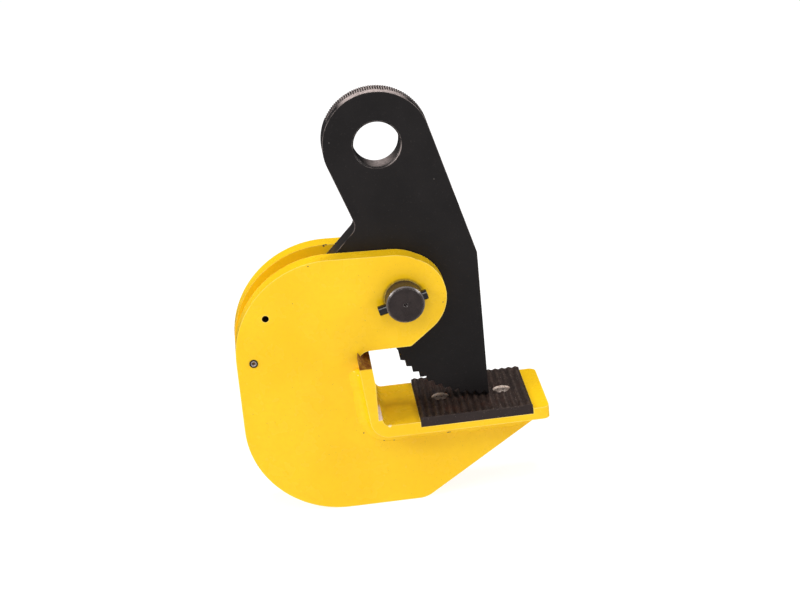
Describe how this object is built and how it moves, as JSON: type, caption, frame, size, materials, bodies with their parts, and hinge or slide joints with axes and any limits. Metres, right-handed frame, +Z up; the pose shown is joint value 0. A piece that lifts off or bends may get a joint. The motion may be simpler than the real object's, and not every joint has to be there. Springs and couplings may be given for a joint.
{
  "type": "plate lifting clamp",
  "caption": "Horizontal plate lifting clamp: a toothed lever with a lifting eye, pinned between two side plates, grips a plate against a ridged jaw pad.",
  "frame": {"origin": "centre of the lifting eye's bore, from which the clamp hangs", "axes": "+Z up through the clamp and square to the jaw shelf; +X towards the jaw's open side; +Y along the pivot pin, away from the side with the tag holes"},
  "size_m": [0.2415, 0.081, 0.3365],
  "materials": {
    "yellow_body": "gloss enamel",
    "yellow_weld": "gloss enamel over a ground weld",
    "black_lever": "satin black paint over plate steel",
    "pad_steel": "blackened and oiled, machined ridges",
    "screw_zinc": "bright zinc plate",
    "pin_steel": "turned and blackened",
    "spring_steel": "blackened spring steel",
    "rivet_steel": "dull plated steel"
  },
  "bodies": {
    "lever": {"lifting_lever": "black_lever"},
    "frame": {"front_side_plate": "yellow_body", "rear_side_plate": "yellow_body", "jaw_bracket": "yellow_body", "front_jaw_weld": "yellow_weld", "rear_jaw_weld": "yellow_weld", "jaw_pad": "pad_steel", "inner_pad_screw": "screw_zinc", "outer_pad_screw": "screw_zinc", "heel_spacer": "yellow_body", "front_heel_weld": "yellow_weld", "rear_heel_weld": "yellow_weld", "stop_block": "yellow_body", "front_stop_weld": "yellow_weld", "rear_stop_weld": "yellow_weld", "tag_rivet": "rivet_steel"},
    "pin": {"pivot_pin": "pin_steel", "front_spring_pin": "spring_steel", "rear_spring_pin": "spring_steel"}
  },
  "joints": [
    {"name": "jaw_pivot", "type": "hinge", "parent": "lever", "child": "frame", "pos_m": [0.0085, 0, -0.1215], "axis": [0, 1, 0], "range_deg": [0, 42]},
    {"name": "pin_turn", "type": "hinge", "parent": "frame", "child": "pin", "pos_m": [0.0085, 0, -0.1215], "axis": [0, 1, 0], "continuous": true}
  ]
}
